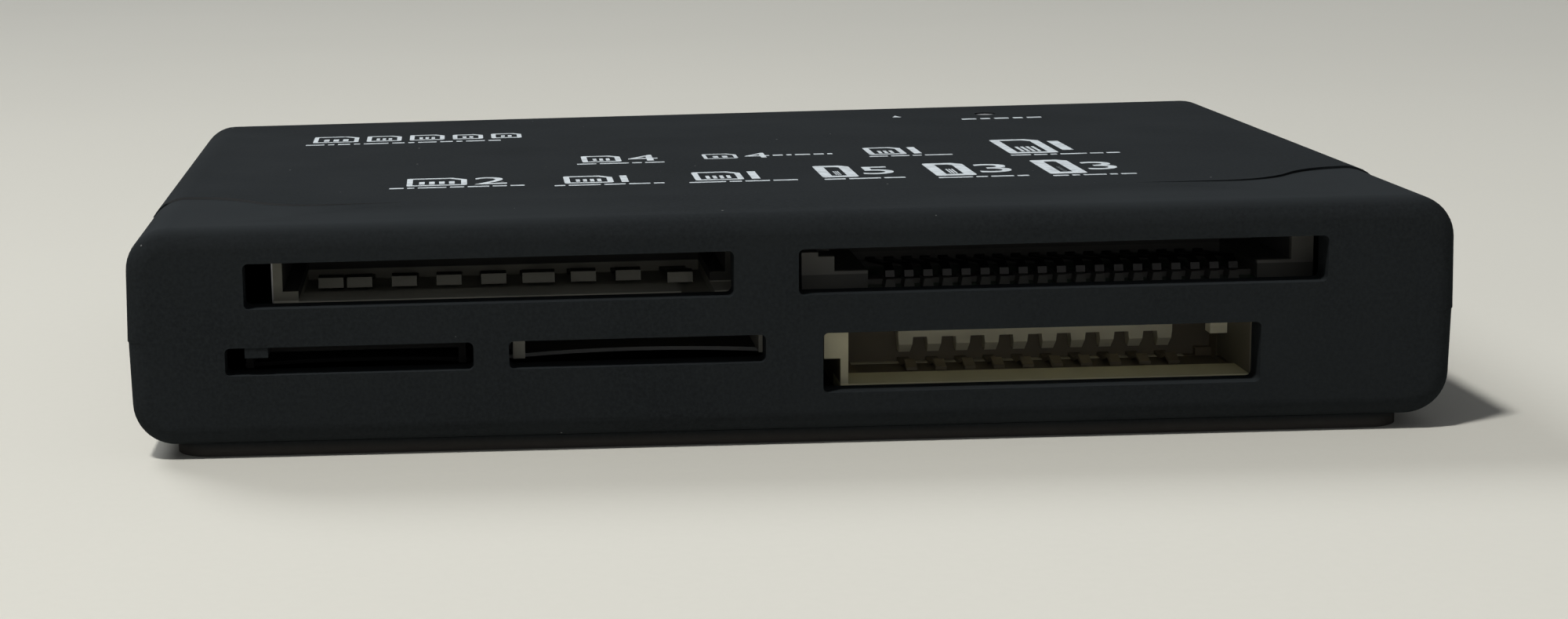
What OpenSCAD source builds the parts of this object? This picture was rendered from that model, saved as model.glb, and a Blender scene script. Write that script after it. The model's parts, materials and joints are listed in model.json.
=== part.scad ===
// A USB memory card reader: a low moulded case with five card slots in its front wall, a circuit board at
// mid height, card guides with spring contacts on both faces of the board, and a mini USB inlet at the back.
// Sizes are in millimetres. The front face looks along -Y, +X is to the right, and the case rests on z = 0.

/* [Case] */
// Depth of the case from its front face to its rear face
body_d = 48.4; // [46:0.1:70]
// Round of the four long edges, as seen from the front
corner_r = 2.3; // [1.6:0.1:3.2]
// Round between the side faces and the front or rear face
face_r = 1.1; // [0.5:0.1:1.5]
// Mould draft of the side walls above and below the seam, in degrees
draft = 1.2; // [0.2:0.1:2]
// Thickness of the side and rear walls
wall = 1.6; // [1.3:0.05:2]
// Thickness of the front wall
front_wall = 1.8; // [1.3:0.05:2.4]
// Thickness of the top
top_wall = 1.5; // [1.2:0.05:2]
// Thickness of the bottom above the foot plate
floor_wall = 1.15; // [0.9:0.05:1.6]
// How far the front wall wraps around the sides before the bottom shell starts
wrap_d = 3.2; // [2.9:0.1:5]
// Height of the seam above the underside of the circuit board
seam_rise = 0.09; // [0.02:0.01:0.3]
// How far the sides below the seam stand behind the sides above it
seam_step = 0.05; // [0.02:0.01:0.1]

/* [Foot plate] */
// Height of the inset foot plate under the case
foot_h = 0.75; // [0.5:0.05:1.2]
// Inset of the foot plate from the front and rear faces
foot_front = 0.9; // [0.5:0.1:1.6]
// Inset of the foot plate from the sides
foot_side = 2.3; // [2.3:0.1:4]
// Corner round of the foot plate
foot_r = 2; // [1:0.1:4]
// Depth of the bare label recess in the underside
label_h = 0.25; // [0.1:0.05:0.4]

/* [Top step] */
// Height of the flat top above the band along the front edge
step_h = 0.14; // [0.1:0.02:0.34]
// Distance of the step from the front face, in the middle
step_front = 7.4; // [6:0.1:9]
// How much farther back the step lies at the sides
step_back = 4.5; // [2.5:0.1:6]
// Distance of the middle of each S curve from the side of the case
step_side = 6.3; // [5.6:0.1:8]
// Steepest angle of the S curves, in degrees
step_bend = 55; // [50:1:75]
// How far the sides and rear of the flat top stand behind those of the band
step_in = 0.02; // [0.01:0.01:0.05]
// Half width over which the band stays flush with the flat top
fade_x = 20; // [14:1:22]
// Width over which the band then sinks to its full depth
fade_w = 10; // [6:1:12]
// Distance from the front face at which the band starts to rise
band_y = 2.2; // [1.8:0.1:3]

/* [Slots, upper row] */
// Distance of the SD slot from the left side
sd_margin = 6.4; // [5.8:0.1:9]
// How much wider the SD slot is than the card
sd_play = 2.1; // [1.6:0.1:4]
// Distance between the two upper slots
upper_gap = 3.42; // [3:0.01:6]
// How much wider the xD slot is than the card
xd_play = 2.95; // [2.6:0.05:5]
// Distance of the xD slot from the right side
xd_margin = 6.93; // [6.2:0.01:9]
// Height of the upper slots
upper_slot_h = 2.47; // [2.4:0.01:2.7]
// Round of the corners of the slots
slot_r = 0.3; // [0.1:0.05:0.5]
// Height of the floor of a card guide above the lower edge of its slot
slot_lip = 0.05; // [0.02:0.01:0.15]

/* [Slots, lower row] */
// Distance of the microSD slot from the left side
tf_margin = 5.27; // [4.8:0.01:7]
// How much wider the microSD slot is than the card
tf_play = 2.3; // [2:0.1:4]
// Distance between the microSD and M2 slots
lower_gap_l = 1.9; // [1.6:0.1:3]
// How much wider the M2 slot is than the card
m2_play = 1.2; // [0.9:0.1:2.5]
// Distance between the M2 and Memory Stick slots
lower_gap_r = 3.03; // [2.6:0.01:5]
// How much wider the Memory Stick slot is than the card
ms_play = 1.73; // [1.4:0.01:4.5]
// Height of the Memory Stick slot
ms_slot_h = 3.26; // [3.1:0.02:3.44]
// Height of the microSD and M2 slots
small_slot_h = 1.52; // [1.45:0.01:1.7]
// Width of the key that hangs from the top edge of the microSD slot
key_w = 1.25; // [0.8:0.05:1.6]
// Drop of that key
key_h = 0.56; // [0.3:0.02:0.6]
// Distance of the key from the left end of the slot
key_x = 1.08; // [0.5:0.02:2]

/* [Circuit board] */
// Thickness of the circuit board
board_t = 1; // [0.8:0.1:1.6]
// Gap between the board and the side walls, which the snap hooks stand in
board_side = 1.8; // [1.5:0.1:2.4]
// Gap between the board and the front wall
board_front = 0.4; // [0.2:0.1:1]
// Gap between the board and the rear wall
board_rear = 1.3; // [0.5:0.1:3]
// Gap between the bottom of the case and the lowest card guide
under_gap = 0.4; // [0.2:0.05:1]
// Gap between the highest cover and the top of the case
over_gap = 0.57; // [0.3:0.01:1.5]

/* [Card guides] */
// Gap between the front wall and the card guides
guide_gap = 0.1; // [0.05:0.05:0.4]
// Gap at each side of a card in its guide
card_gap = 0.05; // [0.02:0.01:0.15]
// Thickness of the steel covers
cover_t = 0.2; // [0.12:0.02:0.3]
// Clearance around each spring in its housing
pin_gap = 0.05; // [0.03:0.01:0.08]
// Width of the windows in the steel covers
window_w = 3; // [1.5:0.5:4]
// Distance of the windows from the middle of a cover
window_x = 6; // [3:0.5:8]

/* [SD guide] */
// Width of an SD card
sd_card_w = 24; // [23.5:0.1:24.4]
// Gap between the right end of the slot and the card's path
sd_edge = 0.02; // [0:0.01:0.6]
// Depth of the SD guide
sd_guide_d = 12; // [10:0.1:16]
// Thickness of its side walls
sd_wall = 0.5; // [0.4:0.05:0.9]
// Thickness of its floor
sd_floor = 0.83; // [0.7:0.01:1.2]
// Height of its card space
sd_open_h = 2.2; // [2.15:0.01:2.5]
// Depth of its front lip
sd_lip = 2.8; // [1.5:0.1:3.4]
// Width of the rails that the card's thin edges ride on
sd_rail_w = 0.85; // [0.5:0.05:1]
// Height of those rails
sd_rail_h = 0.55; // [0.3:0.05:0.7]
// Distance between neighbouring springs
sd_pitch = 2.5; // [2.2:0.05:2.6]
// Width of a spring
sd_pin_w = 1.4; // [0.8:0.05:1.5]
// How much wider the supply spring is than the others
sd_supply = 0.4; // [0:0.05:0.6]
// Height of the bent tip of a spring
sd_tip_h = 0.42; // [0.3:0.02:0.5]
// How much farther back the right wall starts
sd_wall_back = 2.8; // [1:0.1:4]

/* [xD guide] */
// Width of an xD card
xd_card_w = 25; // [24.5:0.1:25.4]
// Gap between the right end of the slot and the card's path
xd_edge = 0.15; // [0:0.01:0.6]
// How much farther back the xD guide starts than the others
xd_setback = 4.1; // [2:0.1:6]
// Depth of the xD guide
xd_guide_d = 9.5; // [8:0.1:14]
// Thickness of its right wall
xd_wall = 1.2; // [0.8:0.1:1.6]
// Thickness of its stepped left wall
xd_block = 1.8; // [1.4:0.1:2]
// Height of the ledges that carry the card
xd_ledge_h = 1; // [0.9:0.05:1.15]
// Width of those ledges
xd_ledge_w = 1.85; // [1:0.05:2.2]
// Number of springs
xd_pins = 19; // [12:1:19]
// Distance between neighbouring springs
xd_pitch = 1.05; // [0.95:0.01:1.08]
// Width of a spring
xd_pin_w = 0.5; // [0.3:0.05:0.6]
// Width of the stud under each spring's tip
xd_stud_w = 0.6; // [0.4:0.05:0.7]
// Height of those studs
xd_stud_h = 0.45; // [0.35:0.05:0.5]

/* [Memory Stick guide] */
// Width of a Memory Stick
ms_card_w = 21.5; // [21:0.1:21.8]
// Gap between the right end of the slot and the card's path
ms_edge = 0.03; // [0:0.01:0.5]
// Depth of its floor, ceiling and walls
ms_guide_d = 8; // [7.6:0.1:12]
// Thickness of its floor
ms_floor = 0.6; // [0.5:0.05:0.9]
// Height of its card space
ms_open_h = 2.85; // [2.82:0.01:3.1]
// Thickness of its ceiling
ms_ceiling = 0.65; // [0.5:0.05:1]
// Thickness of its side walls
ms_wall = 0.42; // [0.35:0.01:0.7]
// Width of the upper part of its left wall
ms_block = 1.3; // [1:0.05:1.5]
// Depth of its front lip
ms_lip = 2.9; // [2:0.1:4]
// Thickness of its toothed end wall
ms_stop = 1; // [0.7:0.1:1.4]
// Number of teeth, with one spring under each
ms_pins = 10; // [8:1:10]
// Distance between neighbouring teeth
ms_pitch = 1.62; // [1.5:0.01:1.75]
// Width of a tooth at its root
ms_tooth_w = 0.85; // [0.7:0.05:1]
// Length of a tooth
ms_tooth_h = 0.94; // [0.6:0.02:1.1]
// Gap between the ends of the teeth and the card floor
ms_tooth_gap = 0.18; // [0.1:0.01:0.3]
// How far the end of a tooth slants back
ms_tooth_back = 0.5; // [0.2:0.05:0.8]
// How far the row of teeth stands to the right of the card's middle
ms_shift = 0.72; // [0:0.01:1]
// How far the key beside the right wall stands in front of the teeth
ms_key_y = 2.6; // [1.2:0.1:3]
// Width of that key
ms_key_w = 0.95; // [0.5:0.05:1.2]
// Width of the rails beside the window in the floor
ms_rail_w = 0.9; // [0.5:0.05:1]
// Width of a spring
ms_pin_w = 0.6; // [0.4:0.05:0.9]

/* [M2 guide] */
// Width of an M2 card
m2_card_w = 12.5; // [12.2:0.1:12.8]
// Gap between the right end of the slot and the card's path
m2_edge = 0.2; // [0:0.01:0.6]
// Depth of the M2 guide
m2_guide_d = 9; // [8:0.1:13]
// Thickness of its side walls
m2_wall = 0.65; // [0.4:0.05:0.8]
// Height of its card space
m2_open_h = 1.3; // [1.25:0.01:1.31]
// Height of its tray above the lower edge of the slot
m2_rise = 0.19; // [0.05:0.01:0.2]
// Number of springs
m2_pins = 11; // [8:1:12]
// Distance between neighbouring springs
m2_pitch = 0.95; // [0.8:0.01:0.98]

/* [microSD guide] */
// Width of a microSD card
tf_card_w = 11; // [10.8:0.1:11.2]
// Gap between the right end of the slot and the card's path
tf_edge = 0.8; // [0.3:0.01:1.2]
// Depth of the microSD guide
tf_guide_d = 10; // [8:0.1:14]
// Thickness of its side walls
tf_wall = 0.4; // [0.3:0.05:0.6]
// Height of its card space
tf_open_h = 0.86; // [0.8:0.01:0.95]
// Number of springs
tf_pins = 8; // [8:1:9]
// Distance between neighbouring springs
tf_pitch = 1.1; // [0.9:0.05:1.15]

/* [USB inlet] */
// Width of the inlet's steel shell
usb_w = 7.5; // [7.2:0.1:7.9]
// Height of the inlet's steel shell
usb_h = 3.9; // [3.7:0.05:4]
// Length of the inlet's steel shell
usb_l = 9.2; // [8.4:0.1:10]
// Thickness of the inlet's steel
usb_t = 0.3; // [0.2:0.02:0.4]
// Gap around the inlet in the rear wall
usb_gap = 0.35; // [0.2:0.05:0.45]

/* [Shell fittings] */
// Diameter of the posts behind the board
post_d = 3; // [2.6:0.1:3.6]
// Diameter of the pins that locate the board
pin_d = 1.5; // [1.2:0.05:1.7]
// Clearance of the pins in the board, across the diameter
pin_clear = 0.2; // [0.1:0.05:0.3]
// Distance of the posts from the sides of the case
post_side = 7.4; // [6.4:0.1:9]
// Distance of the posts from the inside of the rear wall
post_rear = 4.5; // [3.6:0.1:6]
// Length of the rests along the sides of the board
rest_l = 6; // [3:0.1:7]
// How far the rests reach under and over the board
rest_lap = 0.9; // [0.5:0.1:1.1]
// Thickness of the snap hooks
clip_t = 0.8; // [0.6:0.05:1]
// Width of the snap hooks
clip_w = 5; // [3:0.1:6]
// How far the snap hooks reach into the side walls
clip_hook = 0.35; // [0.2:0.05:0.5]
// Clearance of the snap hooks
clip_gap = 0.12; // [0.08:0.02:0.2]
// Distance of the ribs under the top from its middle
rib_x = 10; // [5:0.5:14]
// Length of those ribs
rib_l = 12.4; // [6:0.1:14]

/* [Indicator] */
// Diameter of the indicator's window
pipe_d = 1.3; // [1:0.1:1.8]
// Clearance of the window in its hole, across the diameter
pipe_clear = 0.1; // [0.06:0.02:0.2]
// Distance of the indicator from the right side
led_side = 16.9; // [14:0.1:19]
// Distance of the indicator from the rear face
led_rear = 5.7; // [5:0.1:8]

/* [Board parts] */
// Width of the controller's body
chip_w = 7; // [5:0.5:8]
// Thickness of the controller's body
chip_h = 1.4; // [1:0.1:1.8]
// Number of leads along each side of the controller
chip_pins = 12; // [6:1:12]
// Distance between neighbouring leads
chip_pitch = 0.5; // [0.4:0.05:0.52]
// Length of the crystal's can
crystal_l = 10; // [8:0.5:11]
// Width of the crystal's can
crystal_w = 4; // [3:0.1:4.5]
// Height of the crystal's can
crystal_h = 2.6; // [1.5:0.1:3]
// Width of the rim at the foot of the can
crystal_rim = 0.2; // [0.1:0.05:0.3]
// Distance between the controller's leads and the crystal
crystal_gap = 5.2; // [1:0.1:5.5]
// Distance between the longest card guide and the middle of the controller
chip_gap = 5.9; // [5.6:0.1:8]
// Width of the regulator's body
reg_w = 6.5; // [5:0.1:7]
// Depth of the regulator's body
reg_l = 3.5; // [3:0.1:4]
// Length of a small capacitor or resistor
part_l = 1.6; // [1:0.1:2]
// Width of a small capacitor or resistor
part_w = 0.8; // [0.5:0.1:1]
// Length of a large capacitor
cap_l = 3.2; // [2:0.1:4]
// Distance between the crystal and the large capacitors
cap_gap = 3.2; // [1:0.1:4]
// Pitch of the small parts beside the controller
part_pitch = 2; // [1.6:0.1:2.5]
// Distance between the controller's leads and the resistors
part_gap = 8.4; // [1:0.1:10]

/* [Hidden] */
$fn = 64;
e = 0.01;
fold = 0.15;

sd_slot_w = sd_card_w + sd_play;
xd_slot_w = xd_card_w + xd_play;
tf_slot_w = tf_card_w + tf_play;
m2_slot_w = m2_card_w + m2_play;
ms_slot_w = ms_card_w + ms_play;
body_w = sd_margin + sd_slot_w + upper_gap + xd_slot_w + xd_margin;
hw = body_w / 2;
yf = -body_d / 2;
yr = body_d / 2;
xi = hw - wall;
yi = yf + front_wall;
yri = yr - wall;
yg = yi + guide_gap;
y_split = yf + wrap_d;

// Heights follow from the stack: foot, bottom, Memory Stick guide, board, SD guide, cover, top.
floor_z = foot_h + floor_wall;
ms_z = floor_z + under_gap;
ms_card_z = ms_z + ms_floor;
board_z = ms_card_z + ms_open_h + ms_ceiling;
board_top = board_z + board_t;
seam_z = board_z + seam_rise;
sd_card_z = board_top + sd_floor;
cover_z = sd_card_z + sd_open_h;
top_z = cover_z + cover_t + over_gap;
body_h = top_z + top_wall;
band_h = body_h - step_h;

// Slots, as the left end, the width, the lower edge and the height of each.
upper_z = sd_card_z - slot_lip;
lower_top = ms_card_z - slot_lip + ms_slot_h;
small_z = lower_top - small_slot_h;
tf_card_z = small_z + slot_lip;
m2_card_z = small_z + m2_rise;
tf_x0 = -hw + tf_margin;
m2_x0 = tf_x0 + tf_slot_w + lower_gap_l;
ms_x0 = m2_x0 + m2_slot_w + lower_gap_r;
sd_slot = [-hw + sd_margin, sd_slot_w, upper_z, upper_slot_h];
xd_slot = [hw - xd_margin - xd_slot_w, xd_slot_w, upper_z, upper_slot_h];
tf_slot = [tf_x0, tf_slot_w, small_z, small_slot_h];
m2_slot = [m2_x0, m2_slot_w, small_z, small_slot_h];
ms_slot = [ms_x0, ms_slot_w, ms_card_z - slot_lip, ms_slot_h];

// Middles of the card paths, set from the right ends of the slots.
function path_x(slot, edge, card) = slot[0] + slot[1] - edge - card_gap - card / 2;
sd_cx = path_x(sd_slot, sd_edge, sd_card_w);
xd_cx = path_x(xd_slot, xd_edge, xd_card_w);
tf_cx = path_x(tf_slot, tf_edge, tf_card_w);
m2_cx = path_x(m2_slot, m2_edge, m2_card_w);
ms_cx = path_x(ms_slot, ms_edge, ms_card_w);
sd_hw = sd_card_w / 2 + card_gap;
xd_hw = xd_card_w / 2 + card_gap;
tf_hw = tf_card_w / 2 + card_gap;
m2_hw = m2_card_w / 2 + card_gap;
ms_hw = ms_card_w / 2 + card_gap;
yx = yg + xd_setback;

// Spring stock, and the places of the springs across each guide.
sd_t = 0.2;
fine_t = 0.15;
anchor = 2;
small_pin_w = 0.45;
function row(n, pitch) = [for (i = [0 : n - 1]) (i - (n - 1) / 2) * pitch];
// Each guide holds as many springs as have room between its sides.
function roomy(xs, w, half) = [for (x = xs) if (abs(x) + w / 2 + pin_gap < half) x];
sd_row = [for (i = [0 : 6]) (i - 3) * sd_pitch - 0.6];
sd_xs = roomy(concat([sd_row[0] - 0.64 * sd_pitch], sd_row, [sd_row[6] + 1.12 * sd_pitch]),
    sd_pin_w, sd_hw - sd_rail_w);
sd_ws = [for (x = sd_xs) x == sd_row[4] ? sd_pin_w + sd_supply : sd_pin_w];
xd_xs = roomy(row(xd_pins, xd_pitch), xd_stud_w, xd_hw - xd_ledge_w);
ms_xs = roomy([for (x = row(ms_pins, ms_pitch)) x + ms_shift], ms_tooth_w, ms_hw - ms_rail_w);
m2_xs = roomy(row(m2_pins, m2_pitch), small_pin_w, m2_hw);
tf_xs = roomy(row(tf_pins, tf_pitch), small_pin_w, tf_hw);

// Fittings.
post_x = hw - post_side;
post_y = yri - post_rear;
post_xs = [-post_x, post_x];
board_hw = xi - board_side;
board_y0 = yi + board_front;
board_y1 = yri - board_rear;
rest_x = board_hw - rest_lap;
rest_y = yf + 9.5;
clip_ys = [yf + 20.5, yf + 34.5];
clip_x = xi - clip_gap - clip_t;
clip_z = seam_z + 2.4;
led_x = hw - led_side;
led_y = yr - led_rear;
led_h = 0.6;
usb_y = yri - 0.1;
usb_z = board_z - usb_h;

// Rounds a worked-out length, so that pieces that share a face meet exactly, and an angle by its cosine.
function even(v) = round(v * 10000) / 10000;
function even_angle(a) = acos(round(cos(a) * 1000000) / 1000000);

// Stands an outline drawn in Y and Z across the case, from x0 over the width w.
module across(x0, w) {
    translate([x0, 0, 0]) rotate([90, 0, 90]) linear_extrude(w) children();
}

// Runs an outline drawn in X and Z from front to back, from y0 over the length l.
module along(y0, l) {
    translate([0, y0 + l, 0]) rotate([90, 0, 0]) linear_extrude(l) children();
}

module block(x0, x1, y0, y1, z0, z1) {
    translate([x0, y0, z0]) cube([x1 - x0, y1 - y0, z1 - z0]);
}

// A rectangle with four true round corners, from its lower left corner.
module round_rect(w, h, r) {
    translate([r, 0]) square([w - 2 * r, h]);
    translate([0, r]) square([w, h - 2 * r]);
    for (x = [r, w - r], y = [r, h - r]) translate([x, y]) circle(r);
}

// Plan of a side strip of width r between y0 and y1, with the rounds to the front face and to the rear face,
// which stands at y = back.
module strip_plan(r, inward, y0, y1, back) {
    intersection() {
        union() {
            translate([-inward, yf]) square([r + inward - face_r, back - yf]);
            translate([-inward, yf + face_r]) square([r + inward, back - yf - 2 * face_r]);
            for (y = [yf + face_r, back - face_r]) translate([r - face_r, y]) circle(face_r);
        }
        translate([-inward - 1, y0]) square([r + inward + 2, y1 - y0]);
    }
}

// One half of the case's outer form, from the seam at z = 0 up to the height h, with its sides at x = side
// on the seam: a middle block, two side strips that lean in by the draft, and turned corners that carry the
// same rounds about them. Only the part between y0 and y1 is drawn.
module half_form(h, side, y0, y1, back = yr) {
    lean = even_angle(draft);
    cz = h - corner_r;
    cx = even(side - (corner_r + cz * sin(lean)) / cos(lean));
    across(-cx, 2 * cx) intersection() {
        union() {
            translate([yf, 0]) square([back - yf, h - face_r]);
            translate([yf + face_r, 0]) square([back - yf - 2 * face_r, h]);
            for (y = [yf + face_r, back - face_r]) translate([y, h - face_r]) circle(face_r);
        }
        translate([y0, 0]) square([y1 - y0, h + 1]);
    }
    for (s = [0, 1]) mirror([s, 0, 0]) {
        intersection() {
            translate([cx, 0, cz]) rotate([0, -lean, 0]) translate([0, 0, -h])
                linear_extrude(h) strip_plan(corner_r, 1, y0, y1, back);
            block(0, side + 1, yf - 1, yr + 1, 0, h + 1);
        }
        difference() {
            translate([cx, 0, cz]) rotate([90, 0, 0])
                rotate_extrude(angle = 90) mirror([0, 1]) strip_plan(corner_r, 0, y0, y1, back);
            translate([cx, 0, cz]) rotate([0, -lean, 0]) block(-1, h, yf - 2, yr + 2, -h, 0);
        }
    }
}

module upper_form(top, y0, inset) {
    translate([0, 0, seam_z]) half_form(top - seam_z, hw - inset, y0, yr + 1, yr - inset);
}

module lower_form(y0, y1) {
    translate([0, 0, seam_z]) mirror([0, 0, 1]) half_form(seam_z - foot_h, hw - seam_step, y0, y1);
}

// Plan of the flat top behind the step. Each S curve is two equal arcs that meet at its steepest point.
module flat_top_plan() {
    r = even(step_back / (2 * (1 - cos(step_bend))));
    half = even(r * sin(step_bend));
    xm = hw - step_side;
    y0 = yf + step_front;
    ym = y0 + step_back / 2;
    y1 = y0 + step_back;
    translate([-hw - 1, y1]) square([2 * hw + 2, body_d]);
    translate([-xm + half, y0]) square([2 * (xm - half), body_d / 2]);
    for (s = [0, 1]) mirror([s, 0, 0]) {
        translate([xm - half - e, ym]) square([half + e, step_back / 2 + e]);
        intersection() {
            translate([xm - half - e, y0]) square([half + e, step_back / 2 + e]);
            translate([xm - half, y0 + r]) circle(r);
        }
        difference() {
            translate([xm - e, ym]) square([half + e, step_back / 2 + e]);
            translate([xm + half, y1 - r]) circle(r);
        }
    }
}

// The band rises to the flat top in the middle and sinks to its full depth towards the sides.
module band_rise() {
    y1 = yf + step_front;
    y2 = y1 + step_back + 0.1;
    intersection() {
        across(-hw, 2 * hw) polygon([
            [yf + band_y, band_h - 0.5], [yf + band_y, band_h], [y1, body_h], [y2, body_h], [y2, band_h - 0.5]
        ]);
        along(yf, body_d) polygon([
            [-fade_x - fade_w, band_h - 0.5], [-fade_x - fade_w, band_h], [-fade_x, body_h],
            [fade_x, body_h], [fade_x + fade_w, band_h], [fade_x + fade_w, band_h - 0.5]
        ]);
    }
}

module slot_cut(slot) {
    along(yf - 1, front_wall + 1 + e)
        translate([slot[0], slot[2]]) round_rect(slot[1], slot[3], slot_r);
}

// Snap hook outline in X and Z, from the wall below the seam up into the recess of the upper wall.
module hook_outline(gap) {
    polygon([
        [clip_x - gap, seam_z - 3], [xi + (gap > 0 ? 0 : e), seam_z - 3],
        [xi + (gap > 0 ? 0 : e), seam_z - 0.3], [clip_x + clip_t, seam_z],
        [clip_x + clip_t, clip_z - gap], [xi + clip_hook + gap, clip_z + clip_hook],
        [xi + clip_hook + gap, clip_z + clip_hook + 0.3 + gap],
        [clip_x + clip_t, clip_z + 1.4 + gap], [clip_x - gap, clip_z + 1.4 + gap]
    ]);
}

module top_shell() {
    color([0.23, 0.24, 0.25]) {
        difference() {
            union() {
                upper_form(band_h, yf - 1, 0);
                intersection() {
                    upper_form(body_h, yf + 4, step_in);
                    translate([0, 0, band_h - 1]) linear_extrude(step_h + 2) flat_top_plan();
                }
                band_rise();
                lower_form(yf - 1, y_split);
            }
            block(-xi, xi, yi, yri, floor_z, top_z);
            for (slot = [sd_slot, xd_slot, tf_slot, m2_slot, ms_slot]) slot_cut(slot);
            translate([led_x, led_y, top_z - 1]) cylinder(d = pipe_d + pipe_clear, h = top_wall + 2);
            for (y = clip_ys, s = [0, 1]) mirror([s, 0, 0])
                block(xi - e, xi + clip_hook + clip_gap, y - clip_w / 2 - clip_gap,
                    y + clip_w / 2 + clip_gap, clip_z - clip_gap, clip_z + 1.4 + clip_hook);
        }
        // The key that hangs into the microSD slot.
        block(tf_x0 + key_x, tf_x0 + key_x + key_w, yf + 0.05, yi, lower_top - key_h, lower_top + e);
        // Rests that hold the board down at its sides, and posts that hold it at the back.
        for (s = [0, 1]) mirror([s, 0, 0])
            block(rest_x, xi + e, rest_y, rest_y + rest_l, board_top, top_z + e);
        for (x = post_xs) translate([x, post_y, board_top]) difference() {
            cylinder(d = post_d, h = top_z - board_top + e);
            translate([0, 0, -e]) cylinder(d = pin_d + pin_clear, h = 2.2);
        }
        // Stiffening ribs under the top, behind the card guides.
        for (x = [-rib_x, rib_x]) block(x - 0.4, x + 0.4, yri - rib_l, yri + e, top_z - 0.8, top_z + e);
    }
}

module bottom_shell() {
    color([0.2, 0.21, 0.22]) {
        difference() {
            union() {
                lower_form(y_split, yr + 1);
                difference() {
                    translate([-hw + foot_side, yf + foot_front, 0]) linear_extrude(foot_h)
                        round_rect(2 * (hw - foot_side), body_d - 2 * foot_front, foot_r);
                    translate([-hw + foot_side + 8, yf + foot_front + 8, -1]) linear_extrude(1 + label_h)
                        round_rect(2 * (hw - foot_side) - 16, body_d - 2 * foot_front - 16, foot_r);
                }
            }
            block(-xi, xi, yi, yri, floor_z, seam_z + 1);
            block(-usb_w / 2 - usb_gap, usb_w / 2 + usb_gap, yri - 1, yr + 1, usb_z - usb_gap, seam_z + 1);
        }
        for (s = [0, 1]) mirror([s, 0, 0])
            block(rest_x, xi + e, rest_y, rest_y + rest_l, floor_z - e, board_z);
        for (x = post_xs) translate([x, post_y, floor_z - e]) {
            cylinder(d = post_d, h = board_z - floor_z + e);
            cylinder(d = pin_d, h = board_top + 1.8 - floor_z);
        }
        for (y = clip_ys, s = [0, 1]) mirror([s, 0, 0])
            along(y - clip_w / 2, clip_w) hook_outline(0);
    }
}

module light_pipe() {
    color([0.08, 0.08, 0.09]) translate([led_x, led_y, 0]) {
        translate([0, 0, top_z]) cylinder(d = pipe_d, h = top_wall - 0.05);
        translate([0, 0, top_z - 0.6]) cylinder(d = pipe_d + 1.1, h = 0.6);
        translate([0, 0, board_top + led_h + 0.1]) cylinder(d = pipe_d, h = top_z - board_top - led_h - 0.4);
    }
}

module circuit_board() {
    color([0.08, 0.3, 0.16]) difference() {
        block(-board_hw, board_hw, board_y0, board_y1, board_z, board_top);
        for (x = post_xs) translate([x, post_y, board_z - 1]) cylinder(d = pin_d + pin_clear, h = board_t + 2);
    }
}

// Outline of a bent strip of even thickness: path is its lower face in Y and Z, and each bend is mitred.
function square_to(a, b) = [a[1] - b[1], b[0] - a[0]] / norm(b - a);
function mitre(p, i) = let(
    n = len(p) - 1,
    u = square_to(p[max(i - 1, 0)], p[max(i, 1)]),
    v = square_to(p[min(i, n - 1)], p[min(i + 1, n)])
) (u + v) / (1 + u * v);
function strip(path, t) = concat(path, [
    for (i = [len(path) - 1 : -1 : 0]) let(q = path[i] + t * mitre(path, i)) [even(q[0]), even(q[1])]
]);

// A row of flat springs of the width w and the thickness t.
module springs(xs, w, path, t) {
    for (x = xs) across(x - w / 2, w) polygon(strip(path, t));
}

// Steel cover: a top plate and two side skirts that stand on the board.
module steel_cover(half, y0, y1, h) {
    block(-half - cover_t, half + cover_t, y0, y1, h, h + cover_t);
    for (s = [0, 1]) mirror([s, 0, 0]) block(half, half + cover_t, y0 + 1.5, y1, 0, h + e);
}

module sd_housing() {
    outer = sd_hw + sd_wall;
    h = sd_floor + sd_open_h;
    back = sd_guide_d - anchor;
    color([0.93, 0.9, 0.78]) translate([sd_cx, yg, board_top]) difference() {
        union() {
            block(-outer, outer, 0, sd_guide_d, 0, sd_floor);
            for (s = [0, 1]) mirror([s, 0, 0]) {
                y0 = s == 1 ? 0 : sd_wall_back;
                block(sd_hw, outer, y0, sd_guide_d, 0, h);
                block(sd_hw - sd_rail_w, sd_hw + e, y0, sd_guide_d, sd_floor - e, sd_floor + sd_rail_h);
            }
            block(-outer, outer, back, sd_guide_d, 0, h);
        }
        // Open well for the springs behind the lip, and a notch at the right end of the lip.
        block(-sd_hw + sd_rail_w, sd_hw - sd_rail_w, sd_lip, back, 0.3, sd_floor + 1);
        block(sd_hw - sd_rail_w - 1.8, sd_hw - sd_rail_w, -1, sd_lip + 1, 0.3, sd_floor + 1);
        for (i = [0 : len(sd_xs) - 1]) let(x = sd_xs[i], w = sd_ws[i] / 2 + pin_gap)
            block(x - w, x + w, back - 1, sd_guide_d + 1, 0.3, 0.3 + sd_t + pin_gap);
    }
}

module sd_contacts() {
    d = sd_guide_d;
    tip = sd_lip + 2.8;
    color([0.85, 0.82, 0.72]) translate([sd_cx, yg, board_top]) {
        for (i = [0 : len(sd_xs) - 1]) {
            y = i == len(sd_xs) - 1 ? tip - 1.1 : tip;
            springs([sd_xs[i]], sd_ws[i], [
                [y, sd_floor + 0.12 - sd_tip_h], [y + 0.12, sd_floor + 0.12], [y + 0.6, sd_floor + 0.18],
                [y + 1.1, sd_floor + 0.08], [d - anchor - 0.4, 0.3], [d + 0.2, 0.3], [d + 0.55, 0], [d + 1.3, 0]
            ], sd_t);
        }
    }
}

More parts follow.
